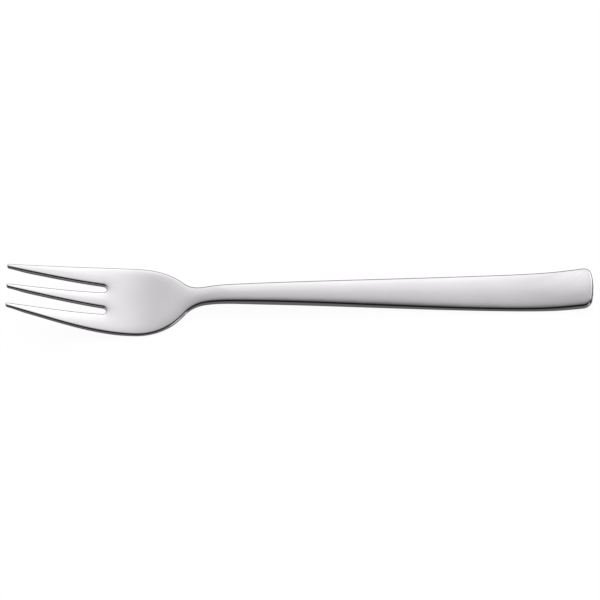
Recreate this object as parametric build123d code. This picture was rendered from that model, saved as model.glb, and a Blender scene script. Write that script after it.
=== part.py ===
from build123d import *
import os
from math import asin, atan2, cos, radians, sin

import numpy as np

# A three-tine pastry fork of one piece of stainless steel, lying on a table with its hollow side up.
# X runs along the fork from the tines to the handle's end, Y across it and Z up from the table.
# Sizes are in millimetres and degrees, and places along the fork are measured from the tine tips.

# Plan of the head and handle
LENGTH = 155.0
HEAD_WIDTH = 20.4
HEAD_WIDEST_AT = 33.4
SHOULDER_WIDTH = 9.5
SHOULDER_AT = 46.5
SHOULDER_ANGLE = 44.7
NECK_WIDTH = 5.25
NECK_AT = 52.4
NECK_FLARE = 1.4
END_WIDTH = 11.8
END_FLARE = 0.8
END_ARC_RADIUS = 20.0
END_CORNER_RADIUS = 2.4
CURVE_FULLNESS = 0.36

# Plan of the tines
TINE_LENGTH = 25.7
TIP_WIDTH = 1.25
TIP_SPACING = 5.9
OUTER_TINE_ANGLE = 7.4
MIDDLE_TINE_ROOT_WIDTH = 4.6
SLOT_ROOT_WIDTH = 2.05

# Heights of the upper surface's centre line above the table
TIP_HEIGHT = 12.15
TINE_ROOT_HEIGHT = 2.95
HEEL_AT = 35.5
SHOULDER_HEIGHT = 2.63
NECK_HEIGHT = 4.55
CREST_HEIGHT = 5.25
CREST_AT = 61.0
HANDLE_MIDDLE_HEIGHT = 3.8
HANDLE_MIDDLE_AT = 95.0
HANDLE_LOW_AT = 131.0
UPTURN_HEIGHT = 2.3
UPTURN_AT = 145.0
END_HEIGHT = 4.05

# Thickness along the centre line
TIP_THICKNESS = 1.1
TINE_THICKNESS = 1.6
TIP_TAPER_LENGTH = 6.0
HEAD_THICKNESS = 1.3
SHOULDER_THICKNESS = 1.75
NECK_THICKNESS = 1.95
SHANK_THICKNESS = 2.33
SHANK_AT = 72.0
HANDLE_THICKNESS = 1.95
END_THICKNESS = 2.38

# Bow of the upper surface across the fork, and the rounding of every edge
TIP_DISH_RADIUS = 90.0
DISH_RADIUS = 500.0
CROWN_FROM = 46.5
NECK_CROWN_RADIUS = 14.0
HANDLE_CROWN_RADIUS = 29.0
EDGE_RADIUS = 0.35

# How finely the upper and lower surfaces are worked out, and how far they reach past the plan
ROWS_ALONG = 80
POINTS_ACROSS = 9
SURFACE_MARGIN = 1.0


def smooth_curve(stations):
    """A function through (place, value) stations whose slope and bend never jump."""
    places, values = np.array(sorted(stations), float).T
    gaps = np.diff(places)
    rises = np.diff(values) / gaps
    last = len(places) - 1
    matrix = np.eye(last + 1)
    turns = np.zeros(last + 1)
    for i in range(1, last):
        matrix[i, i - 1 : i + 2] = gaps[i - 1], 2 * (gaps[i - 1] + gaps[i]), gaps[i]
        turns[i] = 6 * (rises[i] - rises[i - 1])
    bends = np.linalg.solve(matrix, turns)

    def value(place):
        i = int(np.clip(np.searchsorted(places, place) - 1, 0, last - 1))
        before = place - places[i]
        after = places[i + 1] - place
        bent = (bends[i] * after**3 + bends[i + 1] * before**3) / (6 * gaps[i])
        start = (values[i] / gaps[i] - bends[i] * gaps[i] / 6) * after
        end = (values[i + 1] / gaps[i] - bends[i + 1] * gaps[i] / 6) * before
        return bent + start + end

    return value


def eased_steps(stations):
    """A function that eases from each (place, value) station to the next and never passes beyond them."""
    places, values = np.array(sorted(stations), float).T

    def value(place):
        i = int(np.clip(np.searchsorted(places, place) - 1, 0, len(places) - 2))
        part = np.clip((place - places[i]) / (places[i + 1] - places[i]), 0, 1)
        eased = part**3 * (6 * part**2 - 15 * part + 10)
        return values[i] + (values[i + 1] - values[i]) * eased

    return value


# Upper surface, thickness and bow along the fork
spine = smooth_curve(
    [
        (0, TIP_HEIGHT),
        (TINE_LENGTH, TINE_ROOT_HEIGHT),
        (HEEL_AT, HEAD_THICKNESS),
        (SHOULDER_AT, SHOULDER_HEIGHT),
        (NECK_AT, NECK_HEIGHT),
        (CREST_AT, CREST_HEIGHT),
        (HANDLE_MIDDLE_AT, HANDLE_MIDDLE_HEIGHT),
        (HANDLE_LOW_AT, HANDLE_THICKNESS),
        (UPTURN_AT, UPTURN_HEIGHT),
        (LENGTH, END_HEIGHT),
    ]
)
thickness = eased_steps(
    [
        (0, TIP_THICKNESS),
        (TIP_TAPER_LENGTH, TINE_THICKNESS),
        (TINE_LENGTH, TINE_THICKNESS),
        (HEEL_AT, HEAD_THICKNESS),
        (SHOULDER_AT, SHOULDER_THICKNESS),
        (NECK_AT, NECK_THICKNESS),
        (SHANK_AT, SHANK_THICKNESS),
        (HANDLE_LOW_AT, HANDLE_THICKNESS),
        (LENGTH, END_THICKNESS),
    ]
)
bow = eased_steps(
    [
        (0, -1 / TIP_DISH_RADIUS),
        (TINE_LENGTH, -1 / DISH_RADIUS),
        (CROWN_FROM, -1 / DISH_RADIUS),
        (CREST_AT, 1 / NECK_CROWN_RADIUS),
        (LENGTH, 1 / HANDLE_CROWN_RADIUS),
    ]
)


def at(along, across):
    return Vector(along - LENGTH / 2, across)


def toward(angle):
    return Vector(cos(radians(angle)), sin(radians(angle)))


def upper_height(along, across):
    return spine(along) - bow(along) * across**2 / 2


def lower_height(along, across):
    """The underside follows the dish of the head and is flat across the handle."""
    return spine(along) - thickness(along) - min(bow(along), 0) * across**2 / 2


def surface(height):
    reach = HEAD_WIDTH / 2 + SURFACE_MARGIN
    places = np.linspace(-SURFACE_MARGIN, LENGTH + SURFACE_MARGIN, ROWS_ALONG)
    steps = np.linspace(-reach, reach, POINTS_ACROSS)
    grid = [[at(a, y) + Vector(0, 0, height(a, y)) for y in steps] for a in places]
    return Face.make_surface_from_array_of_points(grid, min_deg=3, max_deg=3)


def curve_between(start, start_angle, end, end_angle):
    """A curve that leaves one point and reaches another at the given angles to the fork's length."""
    pull = (end - start).length * CURVE_FULLNESS
    return Bezier(start, start + toward(start_angle) * pull, end - toward(end_angle) * pull, end)


def crossing_tangent(first, first_radius, second, second_radius, side):
    """The straight line that passes from one side of a first circle to the other side of a second."""
    away = second - first
    lean = asin((first_radius + second_radius) / away.length)
    direction = atan2(away.Y, away.X) + side * lean
    normal = Vector(-sin(direction), cos(direction)) * side
    return first - normal * first_radius, second + normal * second_radius


def tine_side(tip, slot_end, side):
    """The flank of a tine, from its round tip to the round end of the slot."""
    return crossing_tangent(tip, TIP_WIDTH / 2, slot_end, SLOT_ROOT_WIDTH / 2, side)


def plan():
    """The fork seen from above: one closed outline of arcs, lines and curves, with the two slots in it."""
    tip = TIP_WIDTH / 2
    slot = SLOT_ROOT_WIDTH / 2
    outer_tip = at(tip, TIP_SPACING)
    slot_end = at(TINE_LENGTH - slot, MIDDLE_TINE_ROOT_WIDTH / 2 + slot)
    middle_flank = tine_side(at(tip, 0), slot_end, -1)
    outer_flank = tine_side(outer_tip, slot_end, 1)
    tip_shoulder = outer_tip + toward(OUTER_TINE_ANGLE + 90) * tip
    widest = at(HEAD_WIDEST_AT, HEAD_WIDTH / 2)
    shoulder = at(SHOULDER_AT, SHOULDER_WIDTH / 2)
    neck = at(NECK_AT, NECK_WIDTH / 2)
    end_bulge = END_ARC_RADIUS - (END_ARC_RADIUS**2 - (END_WIDTH / 2) ** 2) ** 0.5
    corner = at(LENGTH - end_bulge, END_WIDTH / 2)
    half = [
        Line(*middle_flank),
        ThreePointArc(middle_flank[1], slot_end + Vector(slot, 0), outer_flank[1]),
        Line(*outer_flank),
        ThreePointArc(outer_flank[0], outer_tip - Vector(tip, 0), tip_shoulder),
        curve_between(tip_shoulder, OUTER_TINE_ANGLE, widest, 0),
        curve_between(widest, 0, shoulder, -SHOULDER_ANGLE),
        curve_between(shoulder, -SHOULDER_ANGLE, neck, NECK_FLARE),
        curve_between(neck, NECK_FLARE, corner, END_FLARE),
    ]
    other_half = [edge.mirror(Plane.XZ) for edge in half]
    tip_arc = ThreePointArc(other_half[0] @ 0, at(0, 0), half[0] @ 0)
    end_arc = ThreePointArc(half[-1] @ 1, at(LENGTH, 0), other_half[-1] @ 1)
    return make_face([tip_arc, *half, end_arc, *other_half])


def fork():
    """The plan's block, cut by the upper and lower surfaces, with its corners and edges rounded."""
    over = 2 * max(TIP_HEIGHT, CREST_HEIGHT)
    block = extrude(Pos(0, 0, -over) * plan(), amount=2 * over)
    corners = block.edges().filter_by(Axis.Z).sort_by(Axis.X)[-2:]
    block = fillet(corners, END_CORNER_RADIUS)
    below_upper = extrude(surface(upper_height), amount=2 * over, dir=(0, 0, -1))
    below_lower = extrude(surface(lower_height), amount=2 * over, dir=(0, 0, -1))
    blank = (block & below_upper) - below_lower
    lower, upper = blank.faces().sort_by(SortBy.AREA)[-2:].sort_by(Axis.Z)
    rounded = fillet(upper.edges() + lower.edges(), EDGE_RADIUS)
    return Pos(0, 0, -rounded.bounding_box().min.Z) * rounded


os.makedirs("parts", exist_ok=True)
export_step(fork(), "parts/fork.step")
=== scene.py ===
from math import asin, atan2, cos, hypot, pi, radians, sin, sqrt

import bmesh
import bpy
import numpy as np
from mathutils import Matrix, Vector
from mathutils.geometry import delaunay_2d_cdt


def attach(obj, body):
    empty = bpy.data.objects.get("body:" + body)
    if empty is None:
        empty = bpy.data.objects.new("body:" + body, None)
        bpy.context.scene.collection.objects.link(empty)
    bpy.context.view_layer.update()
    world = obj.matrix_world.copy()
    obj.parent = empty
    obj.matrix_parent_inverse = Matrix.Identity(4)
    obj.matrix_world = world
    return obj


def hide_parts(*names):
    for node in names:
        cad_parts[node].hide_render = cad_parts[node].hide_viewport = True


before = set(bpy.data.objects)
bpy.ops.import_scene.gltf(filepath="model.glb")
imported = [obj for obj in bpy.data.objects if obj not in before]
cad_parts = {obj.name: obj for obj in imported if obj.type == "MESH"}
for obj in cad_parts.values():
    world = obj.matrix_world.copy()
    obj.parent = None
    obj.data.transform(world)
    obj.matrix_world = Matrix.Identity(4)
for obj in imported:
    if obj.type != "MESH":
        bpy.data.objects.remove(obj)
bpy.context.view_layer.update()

MM = 0.001

# Plan of the fork, in millimetres and degrees, with places along it measured from the tine tips
LENGTH = 155.0
HEAD_WIDTH = 20.4
HEAD_WIDEST_AT = 33.4
SHOULDER_WIDTH = 9.5
SHOULDER_AT = 46.5
SHOULDER_ANGLE = 44.7
NECK_WIDTH = 5.25
NECK_AT = 52.4
NECK_FLARE = 1.4
END_WIDTH = 11.8
END_FLARE = 0.8
END_ARC_RADIUS = 20.0
END_CORNER_RADIUS = 2.4
CURVE_FULLNESS = 0.36
TINE_LENGTH = 25.7
TIP_WIDTH = 1.25
TIP_SPACING = 5.9
OUTER_TINE_ANGLE = 7.4
MIDDLE_TINE_ROOT_WIDTH = 4.6
SLOT_ROOT_WIDTH = 2.05

# Heights of the upper surface's centre line
TIP_HEIGHT = 12.15
TINE_ROOT_HEIGHT = 2.95
HEEL_AT = 35.5
SHOULDER_HEIGHT = 2.63
NECK_HEIGHT = 4.55
CREST_HEIGHT = 5.25
CREST_AT = 61.0
HANDLE_MIDDLE_HEIGHT = 3.8
HANDLE_MIDDLE_AT = 95.0
HANDLE_LOW_AT = 131.0
UPTURN_HEIGHT = 2.3
UPTURN_AT = 145.0
END_HEIGHT = 4.05

# Thickness along the centre line
TIP_THICKNESS = 1.1
TINE_THICKNESS = 1.6
TIP_TAPER_LENGTH = 6.0
HEAD_THICKNESS = 1.3
SHOULDER_THICKNESS = 1.75
NECK_THICKNESS = 1.95
SHANK_THICKNESS = 2.33
SHANK_AT = 72.0
HANDLE_THICKNESS = 1.95
END_THICKNESS = 2.38

# Bow across the fork, and the rounding of the edges
TIP_DISH_RADIUS = 90.0
DISH_RADIUS = 500.0
CROWN_FROM = 40.0
NECK_CROWN_RADIUS = 14.0
HANDLE_CROWN_RADIUS = 29.0
TINE_EDGE_RADIUS = 0.57
HEAD_EDGE_RADIUS = 0.5
HANDLE_EDGE_RADIUS = 0.6
LOWER_EDGE_RADIUS = 0.4

# Soft fall that polishing leaves beside the upper edges: its drop at the edge and how far inwards it fades
TINE_BUFF = 0.04
TINE_ROOT_BUFF = 0.29
HEAD_BUFF = 0.33
SHOULDER_BUFF = 0.38
HANDLE_BUFF = 0.22
HEAD_BUFF_FADE = 0.9
SHOULDER_BUFF_FADE = 1.15
HANDLE_BUFF_FADE = 0.75

# Fineness of the mesh in millimetres, and how the triangles of its faces are kept and joined in pairs
RIM_STEP = 0.5
ARC_STEP = radians(9)
GRID_STEP = 0.35
GRID_CLEARANCE = 0.7
UPPER_EDGE_RINGS = 10
LOWER_EDGE_RINGS = 6
WALL_RINGS = 3
ONLY_INSIDE = 1
SAME_POINT = 1e-5
JOIN_BEND = radians(20)
JOIN_SKEW = radians(40)

# Camera: the fork's middle, its place and scale in a picture of 600 by 600 pixels, the camera's distance and
# sensor in millimetres, and how near and far it sees in metres
PICTURE = 600
FORK_MIDDLE = Vector((0.0, 0.0, 4.0))
MIDDLE_PIXEL = (300.0, 291.79)
PIXELS_PER_MM = 3.771
CAMERA_DISTANCE = 1000.0
CAMERA_ELEVATION = radians(60)
CAMERA_LEAN = radians(3.05)
SENSOR = 36.0
NEAREST_SEEN = 0.05
FARTHEST_SEEN = 50

# Steel: colour from its duller to its clearer places, roughness, grains per metre along X, Y and Z, and the
# tones and detail of the noise that makes each mark
DULL_STEEL = (0.685, 0.665, 0.685, 1)
CLEAR_STEEL = (0.715, 0.695, 0.715, 1)
ROUGHNESS = 0.11
POLISH_ROUGHNESS = 0.03
SMUDGE_ROUGHNESS = 0.03
SCRATCH_ROUGHNESS = 0.1
POLISH_GRAINS = (25, 2500, 2500)
SMUDGE_GRAINS = (60, 90, 90)
SCRATCH_GRAINS = (40, 1500, 40)
SCRATCH_TURNS = (9, -16, 38)
POLISH_TONES = (0.3, 0.7)
SMUDGE_TONES = (0.35, 0.65)
SCRATCH_TONES = (0.7, 0.74)
POLISH_DETAIL = 2
SMUDGE_DETAIL = 4
SCRATCH_DETAIL = 0
POLISH_DEPTH = 1.5e-6

# Studio round the fork: its brightness by the angle in degrees from the far horizon up over the fork and on
# under it, how that changes from the tine side to the handle side, the strength of a full tone, and how far
# the angle and the side reach each way
STUDIO_TONES = [
    (-180, 0.1),
    (-150, 0.12),
    (-90, 0.11),
    (-60, 0.09),
    (-25, 0.14),
    (6, 0.18),
    (20, 0.79),
    (29, 0.86),
    (42, 0.76),
    (60, 0.58),
    (78, 0.43),
    (86, 0.315),
    (94, 0.18),
    (102, 0.088),
    (116, 0.037),
    (150, 0.006),
    (168, 0.02),
    (180, 0.1),
]
SIDE_TONES = [
    (-1, 0.42),
    (-0.5, 0.56),
    (0, 0.68),
    (0.55, 0.98),
    (0.66, 0.98),
    (0.74, 0.6),
    (0.8, 0.15),
    (0.88, 0.12),
    (1, 0.3),
]
STUDIO_STRENGTH = 2.3
HALF_TURN = 180
FULL_SIDE = 1

# Soft boxes in the studio's low near corners, by the same angle and by the side, and at its two ends
CORNER_TONES = [(-180, 0.3), (-140, 0.24), (-110, 0), (120, 0), (147, 0.28), (180, 0.3)]
CORNER_SIDES = [(-1, 1), (-0.7, 1), (-0.56, 0), (0.56, 0), (0.65, 1), (0.71, 1), (0.79, 0), (1, 0)]
END_TONES = [(-1, 0.35), (-0.95, 0.3), (-0.88, 0), (0.9, 0), (1, 0.1)]

# Strip light with a narrow spread, which shows only in the handle's turned-up end
STRIP_PLACE = Vector((-0.012, 0.195, 0.2))
STRIP_WAY = Vector((0.4, -0.64, -0.66))
STRIP_SIZE = (0.1, 0.26)
STRIP_SPREAD = radians(56)
STRIP_POWER = 0.002

# Floor, which glows almost white, and the broad lamp over it, in metres and watts
FLOOR_REACH = 6.0
FLOOR_COLOUR = (0.04, 0.04, 0.04, 1)
FLOOR_ROUGHNESS = 0.9
FLOOR_GLOW = 0.96
WHITE = (1, 1, 1, 1)
LAMP_PLACE = Vector((0.1, 0.35, 1.1))
LAMP_SIZE = 1.2
LAMP_POWER = 12


# Shape

def smooth_curve(stations):
    """A function through (place, value) stations whose slope and bend never jump."""
    places, values = np.array(sorted(stations), float).T
    gaps = np.diff(places)
    rises = np.diff(values) / gaps
    last = len(places) - 1
    matrix = np.eye(last + 1)
    turns = np.zeros(last + 1)
    for i in range(1, last):
        matrix[i, i - 1 : i + 2] = gaps[i - 1], 2 * (gaps[i - 1] + gaps[i]), gaps[i]
        turns[i] = 6 * (rises[i] - rises[i - 1])
    bends = np.linalg.solve(matrix, turns)

    def value(place):
        i = np.clip(np.searchsorted(places, place) - 1, 0, last - 1)
        before = place - places[i]
        after = places[i + 1] - place
        bent = (bends[i] * after**3 + bends[i + 1] * before**3) / (6 * gaps[i])
        start = (values[i] / gaps[i] - bends[i] * gaps[i] / 6) * after
        end = (values[i + 1] / gaps[i] - bends[i + 1] * gaps[i] / 6) * before
        return bent + start + end

    return value


def eased_steps(stations):
    """A function that eases from each (place, value) station to the next and never passes beyond them."""
    places, values = np.array(sorted(stations), float).T

    def value(place):
        i = np.clip(np.searchsorted(places, place) - 1, 0, len(places) - 2)
        part = np.clip((place - places[i]) / (places[i + 1] - places[i]), 0, 1)
        eased = part**3 * (6 * part**2 - 15 * part + 10)
        return values[i] + (values[i + 1] - values[i]) * eased

    return value


spine = smooth_curve(
    [
        (0, TIP_HEIGHT),
        (TINE_LENGTH, TINE_ROOT_HEIGHT),
        (HEEL_AT, HEAD_THICKNESS),
        (SHOULDER_AT, SHOULDER_HEIGHT),
        (NECK_AT, NECK_HEIGHT),
        (CREST_AT, CREST_HEIGHT),
        (HANDLE_MIDDLE_AT, HANDLE_MIDDLE_HEIGHT),
        (HANDLE_LOW_AT, HANDLE_THICKNESS),
        (UPTURN_AT, UPTURN_HEIGHT),
        (LENGTH, END_HEIGHT),
    ]
)
thickness = eased_steps(
    [
        (0, TIP_THICKNESS),
        (TIP_TAPER_LENGTH, TINE_THICKNESS),
        (TINE_LENGTH, TINE_THICKNESS),
        (HEEL_AT, HEAD_THICKNESS),
        (SHOULDER_AT, SHOULDER_THICKNESS),
        (NECK_AT, NECK_THICKNESS),
        (SHANK_AT, SHANK_THICKNESS),
        (HANDLE_LOW_AT, HANDLE_THICKNESS),
        (LENGTH, END_THICKNESS),
    ]
)
bow = eased_steps(
    [
        (0, -1 / TIP_DISH_RADIUS),
        (TINE_LENGTH, -1 / DISH_RADIUS),
        (CROWN_FROM, -1 / DISH_RADIUS),
        (CREST_AT, 1 / NECK_CROWN_RADIUS),
        (LENGTH, 1 / HANDLE_CROWN_RADIUS),
    ]
)
edge_radius = eased_steps(
    [
        (0, TINE_EDGE_RADIUS),
        (HEEL_AT, HEAD_EDGE_RADIUS),
        (CREST_AT, HANDLE_EDGE_RADIUS),
        (LENGTH, HANDLE_EDGE_RADIUS),
    ]
)
buff_drop = eased_steps(
    [
        (0, TINE_BUFF),
        (TINE_LENGTH, TINE_ROOT_BUFF),
        (HEEL_AT, HEAD_BUFF),
        (SHOULDER_AT, SHOULDER_BUFF),
        (CREST_AT, HANDLE_BUFF),
        (LENGTH, HANDLE_BUFF),
    ]
)
buff_fade = eased_steps(
    [
        (0, HEAD_BUFF_FADE),
        (HEEL_AT, HEAD_BUFF_FADE),
        (SHOULDER_AT, SHOULDER_BUFF_FADE),
        (CREST_AT, HANDLE_BUFF_FADE),
        (LENGTH, HANDLE_BUFF_FADE),
    ]
)


def upper_height(along, across):
    return spine(along) - bow(along) * across**2 / 2


def lower_height(along, across):
    """The underside follows the dish of the head and is flat across the handle."""
    return spine(along) - thickness(along) - np.minimum(bow(along), 0) * across**2 / 2


def buffed_height(along, across, inset):
    """The upper surface with its soft fall towards the edge, at a distance in from the edge."""
    return upper_height(along, across) - buff_drop(along) * np.exp(-inset / buff_fade(along))


def toward(angle):
    return np.array([cos(radians(angle)), sin(radians(angle))])


def line(start, end):
    count = max(2, round(hypot(*(end - start)) / RIM_STEP))
    part = np.linspace(0, 1, count + 1)[:, None]
    return start * (1 - part) + end * part


def arc(centre, radius, first, last):
    """Points of an arc between two angles in radians."""
    count = max(2, round(abs(last - first) / ARC_STEP))
    angles = np.linspace(first, last, count + 1)
    return centre + radius * np.stack([np.cos(angles), np.sin(angles)], 1)


def curve_between(start, start_angle, end, end_angle):
    """Points of a curve that leaves one point and reaches another at the given angles."""
    span = hypot(*(end - start))
    first_pull = start + toward(start_angle) * span * CURVE_FULLNESS
    last_pull = end - toward(end_angle) * span * CURVE_FULLNESS
    t = np.linspace(0, 1, round(span / RIM_STEP) + 1)[:, None]
    near_start = start * (1 - t) ** 3 + 3 * first_pull * t * (1 - t) ** 2
    near_end = 3 * last_pull * t**2 * (1 - t) + end * t**3
    return near_start + near_end


def crossing_tangent(first, first_radius, second, second_radius, side):
    """The straight line from one side of a first circle to the other side of a second, and its angle."""
    away = second - first
    lean = asin((first_radius + second_radius) / hypot(*away))
    direction = atan2(away[1], away[0]) + side * lean
    normal = np.array([-sin(direction), cos(direction)]) * side
    return first - normal * first_radius, second + normal * second_radius, direction


def rounded_end():
    """The handle's end: the point where its side stops, the corner's arc and half of the end's arc."""
    end_centre = np.array([LENGTH - END_ARC_RADIUS, 0.0])
    side_way = toward(END_FLARE)
    inward = -toward(END_FLARE + 90)
    bulge = END_ARC_RADIUS - sqrt(END_ARC_RADIUS**2 - (END_WIDTH / 2) ** 2)
    sharp_corner = np.array([LENGTH - bulge, END_WIDTH / 2])
    offset = sharp_corner + inward * END_CORNER_RADIUS - end_centre
    along = offset @ side_way
    reach = END_ARC_RADIUS - END_CORNER_RADIUS
    back = along - sqrt(along**2 - (offset @ offset - reach**2))
    corner_centre = end_centre + offset - side_way * back
    out = corner_centre - end_centre
    end_angle = atan2(out[1], out[0])
    corner = arc(corner_centre, END_CORNER_RADIUS, radians(END_FLARE + 90), end_angle)
    end = arc(end_centre, END_ARC_RADIUS, end_angle, 0)
    return corner_centre - inward * END_CORNER_RADIUS, corner, end


def outline():
    """The closed plan of the fork, from the middle tine's tip round the +Y side and back on the -Y side."""
    tip = TIP_WIDTH / 2
    slot = SLOT_ROOT_WIDTH / 2
    middle_tip = np.array([tip, 0.0])
    outer_tip = np.array([tip, TIP_SPACING])
    slot_end = np.array([TINE_LENGTH - slot, MIDDLE_TINE_ROOT_WIDTH / 2 + slot])
    middle_start, middle_end, middle_angle = crossing_tangent(middle_tip, tip, slot_end, slot, -1)
    outer_start, outer_end, outer_angle = crossing_tangent(outer_tip, tip, slot_end, slot, 1)
    outer_shoulder = outer_tip + toward(OUTER_TINE_ANGLE + 90) * tip
    widest = np.array([HEAD_WIDEST_AT, HEAD_WIDTH / 2])
    shoulder = np.array([SHOULDER_AT, SHOULDER_WIDTH / 2])
    neck = np.array([NECK_AT, NECK_WIDTH / 2])
    side_end, corner, end = rounded_end()
    runs = [
        arc(middle_tip, tip, pi, middle_angle + pi / 2),
        line(middle_start, middle_end),
        arc(slot_end, slot, middle_angle - pi / 2, outer_angle + pi / 2),
        line(outer_end, outer_start),
        arc(outer_tip, tip, outer_angle + 3 * pi / 2, radians(OUTER_TINE_ANGLE + 90)),
        curve_between(outer_shoulder, OUTER_TINE_ANGLE, widest, 0),
        curve_between(widest, 0, shoulder, -SHOULDER_ANGLE),
        curve_between(shoulder, -SHOULDER_ANGLE, neck, NECK_FLARE),
        curve_between(neck, NECK_FLARE, side_end, END_FLARE),
        corner,
        end,
    ]
    half = np.vstack([runs[0]] + [run[1:] for run in runs[1:]])
    other_half = half[-2:0:-1] * [1, -1]
    return np.vstack([half, other_half])


def outward(loop):
    """Unit normals of a closed loop of points, weighted so that uneven spacing doesn't tilt them."""
    before = loop - np.roll(loop, 1, 0)
    after = np.roll(loop, -1, 0) - loop
    before_length = np.linalg.norm(before, axis=1, keepdims=True)
    after_length = np.linalg.norm(after, axis=1, keepdims=True)
    way = before / before_length**2 + after / after_length**2
    way /= np.linalg.norm(way, axis=1, keepdims=True)
    return np.stack([-way[:, 1], way[:, 0]], 1)


def edge_rings(rim):
    """The fork's edge as rings of points, from the upper face over the rounded edges to the lower face."""
    normals = outward(rim)
    upper_radius = edge_radius(rim[:, 0])[:, None]
    rings = []
    for turn in np.linspace(0, pi / 2, UPPER_EDGE_RINGS):
        inset = upper_radius * (1 - sin(turn))
        plan = rim - normals * inset
        drop = upper_radius[:, 0] * (1 - cos(turn))
        rings.append(np.column_stack([plan, buffed_height(*plan.T, inset[:, 0]) - drop]))
    foot = lower_height(*rim.T) + LOWER_EDGE_RADIUS
    for part in np.linspace(0, 1, WALL_RINGS + 1)[1:-1]:
        rings.append(np.column_stack([rim, rings[UPPER_EDGE_RINGS - 1][:, 2] * (1 - part) + foot * part]))
    for turn in np.linspace(pi / 2, 0, LOWER_EDGE_RINGS):
        plan = rim - normals * LOWER_EDGE_RADIUS * (1 - sin(turn))
        rise = LOWER_EDGE_RADIUS * (1 - cos(turn))
        rings.append(np.column_stack([plan, lower_height(*plan.T) + rise]))
    return rings


def distance_to(loop, points):
    """How far each point lies from a closed loop."""
    step = np.roll(loop, -1, 0) - loop
    from_start = points[:, None] - loop
    part = np.clip((from_start * step).sum(2) / (step**2).sum(1), 0, 1)
    return np.linalg.norm(from_start - part[..., None] * step, axis=2).min(1)


def inner_points(loop):
    """Points of an even grid that lie inside a closed loop, clear of it."""
    along = np.arange(GRID_STEP, LENGTH, GRID_STEP)
    half_count = int(HEAD_WIDTH / 2 / GRID_STEP)
    across = np.arange(-half_count, half_count + 1) * GRID_STEP
    grid = np.stack(np.meshgrid(along, across, indexing="ij"), -1).reshape(-1, 2)
    start, end = loop, np.roll(loop, -1, 0)
    spans = (start[:, 1] > grid[:, 1, None]) != (end[:, 1] > grid[:, 1, None])
    rise = np.where(start[:, 1] == end[:, 1], 1, end[:, 1] - start[:, 1])
    crossing = start[:, 0] + (grid[:, 1, None] - start[:, 1]) * (end[:, 0] - start[:, 0]) / rise
    inside = (spans & (grid[:, 0, None] < crossing)).sum(1) % 2 == 1
    grid = grid[inside]
    return grid[distance_to(loop, grid) > GRID_CLEARANCE * GRID_STEP]


def fill(mesh, ring_verts, ring, height):
    """Fills the inside of a ring with a grid of faces whose points have the given height."""
    loop = ring[:, :2]
    extra = inner_points(loop)
    verts = list(ring_verts)
    for place in np.column_stack([extra, height(extra)]):
        verts.append(mesh.verts.new(place))
    count = len(loop)
    edges = [(i, (i + 1) % count) for i in range(count)]
    points = [Vector(p) for p in np.vstack([loop, extra])]
    _, _, faces, sources, _, _ = delaunay_2d_cdt(points, edges, [], ONLY_INSIDE, SAME_POINT)
    made = [mesh.faces.new([verts[sources[corner][0]] for corner in face]) for face in faces]
    bmesh.ops.join_triangles(
        mesh, faces=made, angle_face_threshold=JOIN_BEND, angle_shape_threshold=JOIN_SKEW
    )


def make_fork():
    """The visible fork: one closed mesh with finely rounded edges, in place of the solid."""
    mesh = bmesh.new()
    rim = outline()
    rings = edge_rings(rim)
    ring_verts = [[mesh.verts.new(p) for p in ring] for ring in rings]
    for upper, lower in zip(ring_verts, ring_verts[1:]):
        for i in range(len(upper)):
            mesh.faces.new((upper[i - 1], upper[i], lower[i], lower[i - 1]))
    fill(mesh, ring_verts[0], rings[0], lambda places: buffed_height(*places.T, distance_to(rim, places)))
    fill(mesh, ring_verts[-1], rings[-1], lambda places: lower_height(*places.T))
    bmesh.ops.recalc_face_normals(mesh, faces=mesh.faces)
    for face in mesh.faces:
        face.smooth = True
    low = min(vert.co.z for vert in mesh.verts)
    to_row = Matrix.Scale(MM, 4) @ Matrix.Translation((-LENGTH / 2, 0, -low))
    bmesh.ops.transform(mesh, matrix=to_row, verts=mesh.verts)
    data = bpy.data.meshes.new("fork_body")
    mesh.to_mesh(data)
    mesh.free()
    piece = bpy.data.objects.new("fork_body", data)
    bpy.context.scene.collection.objects.link(piece)
    return piece


# Material

def ramp(nodes, links, value, stops, interpolation):
    """Colours through (place, colour) stops, read at a value."""
    node = nodes.new("ShaderNodeValToRGB")
    node.color_ramp.interpolation = interpolation
    elements = node.color_ramp.elements
    for _ in stops[2:]:
        elements.new(1)
    for element, (place, colour) in zip(elements, stops):
        element.position = place
        element.color = colour
    links.new(value, node.inputs[0])
    return node.outputs["Color"]


def ranged(nodes, links, value, old, new):
    """A value moved from one range to another, and kept inside it."""
    node = nodes.new("ShaderNodeMapRange")
    node.inputs["From Min"].default_value, node.inputs["From Max"].default_value = old
    node.inputs["To Min"].default_value, node.inputs["To Max"].default_value = new
    links.new(value, node.inputs["Value"])
    return node.outputs[0]


def worked(nodes, links, operation, first, second):
    """Two values put together by one operation."""
    node = nodes.new("ShaderNodeMath")
    node.operation = operation
    links.new(first, node.inputs[0])
    links.new(second, node.inputs[1])
    return node.outputs[0]


def grain(nodes, links, place, grains, turn, detail):
    """Noise with its own number of grains along each axis, turned about Z."""
    mapping = nodes.new("ShaderNodeMapping")
    mapping.vector_type = "TEXTURE"
    mapping.inputs["Rotation"].default_value = (0, 0, radians(turn))
    mapping.inputs["Scale"].default_value = [1 / count for count in grains]
    links.new(place, mapping.inputs["Vector"])
    noise = nodes.new("ShaderNodeTexNoise")
    noise.inputs["Scale"].default_value = 1.0
    noise.inputs["Detail"].default_value = detail
    links.new(mapping.outputs[0], noise.inputs["Vector"])
    return noise.outputs["Fac"]


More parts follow.
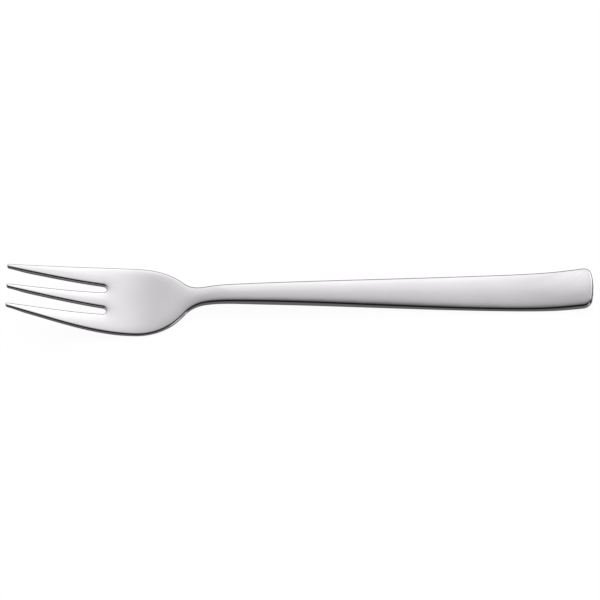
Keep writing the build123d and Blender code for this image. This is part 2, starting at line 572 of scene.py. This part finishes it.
def polished_steel():
    """Polished steel with faint lengthwise polishing lines, hairline scratches and dull smudges."""
    material = bpy.data.materials.new("polished_steel")
    material.use_nodes = True
    nodes, links = material.node_tree.nodes, material.node_tree.links
    shader = nodes["Principled BSDF"]
    shader.inputs["Metallic"].default_value = 1.0
    place = nodes.new("ShaderNodeTexCoord").outputs["Object"]
    polish = grain(nodes, links, place, POLISH_GRAINS, 0, POLISH_DETAIL)
    smudge = grain(nodes, links, place, SMUDGE_GRAINS, 0, SMUDGE_DETAIL)
    smudge = ranged(nodes, links, smudge, SMUDGE_TONES, (0, 1))
    marks = [grain(nodes, links, place, SCRATCH_GRAINS, turn, SCRATCH_DETAIL) for turn in SCRATCH_TURNS]
    scratch, *others = [ranged(nodes, links, mark, SCRATCH_TONES, (0, 1)) for mark in marks]
    for other in others:
        scratch = worked(nodes, links, "MAXIMUM", scratch, other)
    colour = ramp(nodes, links, smudge, [(0, CLEAR_STEEL), (1, DULL_STEEL)], "LINEAR")
    links.new(colour, shader.inputs["Base Color"])
    finest, coarsest = ROUGHNESS - POLISH_ROUGHNESS / 2, ROUGHNESS + POLISH_ROUGHNESS / 2
    roughness = ranged(nodes, links, polish, POLISH_TONES, (finest, coarsest))
    for mark, added in ((smudge, SMUDGE_ROUGHNESS), (scratch, SCRATCH_ROUGHNESS)):
        roughness = worked(nodes, links, "ADD", roughness, ranged(nodes, links, mark, (0, 1), (0, added)))
    links.new(roughness, shader.inputs["Roughness"])
    bump = nodes.new("ShaderNodeBump")
    bump.inputs["Distance"].default_value = POLISH_DEPTH
    links.new(worked(nodes, links, "SUBTRACT", polish, scratch), bump.inputs["Height"])
    links.new(bump.outputs[0], shader.inputs["Normal"])
    return material


# Stage

def make_floor():
    """A plain pale floor that doesn't show in the steel."""
    mesh = bmesh.new()
    bmesh.ops.create_grid(mesh, x_segments=1, y_segments=1, size=FLOOR_REACH)
    data = bpy.data.meshes.new("floor")
    mesh.to_mesh(data)
    mesh.free()
    floor = bpy.data.objects.new("floor", data)
    bpy.context.scene.collection.objects.link(floor)
    material = bpy.data.materials.new("pale_floor")
    material.use_nodes = True
    shader = material.node_tree.nodes["Principled BSDF"]
    shader.inputs["Base Color"].default_value = FLOOR_COLOUR
    shader.inputs["Roughness"].default_value = FLOOR_ROUGHNESS
    shader.inputs["Specular IOR Level"].default_value = 0.0
    shader.inputs["Emission Color"].default_value = WHITE
    shader.inputs["Emission Strength"].default_value = FLOOR_GLOW
    floor.data.materials.append(material)
    floor.visible_glossy = False


def tone_ramp(nodes, links, value, tones, reach, interpolation):
    """Grey tones given at places from -reach to reach, read at a value from 0 to 1."""
    stops = [((place + reach) / (2 * reach), (tone, tone, tone, 1)) for place, tone in tones]
    return ramp(nodes, links, value, stops, interpolation)


def make_world():
    """The studio that the steel mirrors, with plain white where the camera sees past the floor."""
    world = bpy.data.worlds.new("studio")
    bpy.context.scene.world = world
    world.use_nodes = True
    nodes, links = world.node_tree.nodes, world.node_tree.links
    place = nodes.new("ShaderNodeTexCoord")
    split = nodes.new("ShaderNodeSeparateXYZ")
    links.new(place.outputs["Generated"], split.inputs[0])
    turn = worked(nodes, links, "ARCTAN2", split.outputs["Z"], split.outputs["Y"])
    around = ranged(nodes, links, turn, (-pi, pi), (0, 1))
    side = ranged(nodes, links, split.outputs["X"], (-FULL_SIDE, FULL_SIDE), (0, 1))
    around_tone = tone_ramp(nodes, links, around, STUDIO_TONES, HALF_TURN, "CARDINAL")
    side_tone = tone_ramp(nodes, links, side, SIDE_TONES, FULL_SIDE, "CARDINAL")
    corner_tone = tone_ramp(nodes, links, around, CORNER_TONES, HALF_TURN, "EASE")
    corner_side = tone_ramp(nodes, links, side, CORNER_SIDES, FULL_SIDE, "EASE")
    end_tone = tone_ramp(nodes, links, side, END_TONES, FULL_SIDE, "EASE")
    room = worked(nodes, links, "MULTIPLY", around_tone, side_tone)
    corners = worked(nodes, links, "MULTIPLY", corner_tone, corner_side)
    tone = worked(nodes, links, "ADD", worked(nodes, links, "ADD", room, corners), end_tone)
    background = nodes["Background"]
    background.inputs["Strength"].default_value = STUDIO_STRENGTH
    links.new(tone, background.inputs["Color"])
    plain = nodes.new("ShaderNodeBackground")
    plain.inputs["Color"].default_value = WHITE
    seen = nodes.new("ShaderNodeLightPath")
    mix = nodes.new("ShaderNodeMixShader")
    links.new(seen.outputs["Is Camera Ray"], mix.inputs[0])
    links.new(background.outputs[0], mix.inputs[1])
    links.new(plain.outputs[0], mix.inputs[2])
    links.new(mix.outputs[0], nodes["World Output"].inputs["Surface"])


def make_floor_light():
    """A broad lamp overhead that whitens the floor and doesn't show in the steel."""
    lamp = bpy.data.lights.new("overhead", "AREA")
    lamp.size = LAMP_SIZE
    lamp.energy = LAMP_POWER
    light = bpy.data.objects.new("overhead", lamp)
    light.location = LAMP_PLACE
    light.rotation_euler = (-LAMP_PLACE).to_track_quat("-Z", "Y").to_euler()
    light.visible_glossy = False
    bpy.context.scene.collection.objects.link(light)


def make_strip_light():
    """A strip light whose narrow spread reaches only the handle's turned-up end."""
    lamp = bpy.data.lights.new("strip", "AREA")
    lamp.shape = "RECTANGLE"
    lamp.size, lamp.size_y = STRIP_SIZE
    lamp.spread = STRIP_SPREAD
    lamp.energy = STRIP_POWER
    light = bpy.data.objects.new("strip", lamp)
    light.location = STRIP_PLACE
    light.rotation_euler = STRIP_WAY.to_track_quat("-Z", "Y").to_euler()
    light.visible_diffuse = False
    bpy.context.scene.collection.objects.link(light)


def make_camera():
    """A long lens above the -Y side, leaning a little with the fork as the photo does."""
    lens = bpy.data.cameras.new("camera")
    lens.sensor_width = SENSOR
    lens.lens = SENSOR * CAMERA_DISTANCE * PIXELS_PER_MM / PICTURE
    camera = bpy.data.objects.new("camera", lens)
    turn = Matrix.Rotation(CAMERA_LEAN, 3, "Y") @ Matrix.Rotation(pi / 2 - CAMERA_ELEVATION, 3, "X")
    right, up, back = (turn @ Vector(axis) for axis in ((1, 0, 0), (0, 1, 0), (0, 0, 1)))
    picture_middle = (PICTURE - 1) / 2
    aside = (MIDDLE_PIXEL[0] - picture_middle) / PIXELS_PER_MM
    above = (picture_middle - MIDDLE_PIXEL[1]) / PIXELS_PER_MM
    place = FORK_MIDDLE + back * CAMERA_DISTANCE - right * aside - up * above
    camera.matrix_world = Matrix.Translation(place * MM) @ turn.to_4x4()
    lens.clip_start = NEAREST_SEEN
    lens.clip_end = FARTHEST_SEEN
    bpy.context.scene.collection.objects.link(camera)
    bpy.context.scene.camera = camera


fork = make_fork()
fork.data.materials.append(polished_steel())
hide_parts("fork")
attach(fork, "root")

make_floor()
make_world()
make_floor_light()
make_strip_light()
make_camera()
bpy.context.scene.view_settings.view_transform = "Standard"
